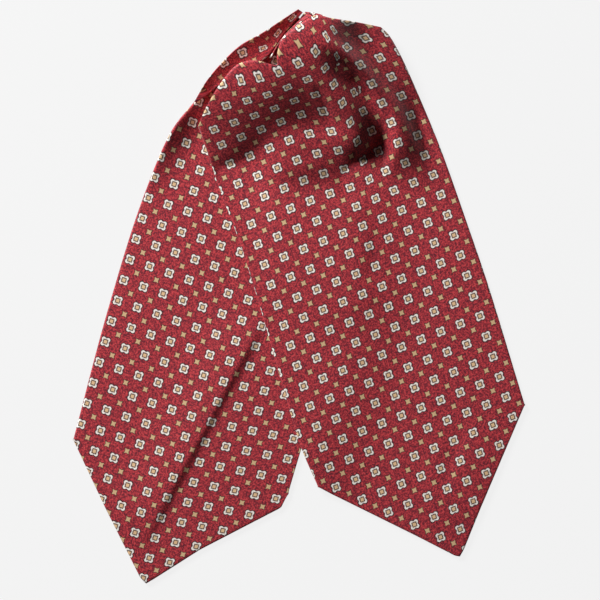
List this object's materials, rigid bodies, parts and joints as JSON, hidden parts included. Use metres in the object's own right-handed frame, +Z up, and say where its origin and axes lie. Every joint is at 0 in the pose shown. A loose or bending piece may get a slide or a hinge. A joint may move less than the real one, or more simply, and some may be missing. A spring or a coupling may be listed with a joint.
{
  "type": "silk day cravat laid flat",
  "caption": "Silk day cravat laid flat: wide pointed blades, one over the other, puffed where they gather into a pleated neckband, in a small repeating print",
  "frame": {"origin": "centre of the underside of the laid cravat, on the surface that it rests on", "axes": "+Z is up, away from the surface; +Y runs from the points of the blades to the neckband; +X is to the right as seen from above, on the side of the over blade"},
  "size_m": [0.3164, 0.4019, 0.0337],
  "materials": {
    "printed_silk": "soft silk twill with a low sheen, deep red heathered ground with small cream and tan printed motifs",
    "band_silk": "the same silk twill, pleated and pressed"
  },
  "bodies": {
    "root": {"over_blade_front": "printed_silk", "over_blade_back": "printed_silk", "under_blade_front": "printed_silk", "under_blade_back": "printed_silk", "neckband_outer_pleat": "band_silk", "neckband_inner_pleat": "band_silk", "neckband_turn": "band_silk", "neckband_folded_layers": "band_silk"}
  },
  "joints": []
}
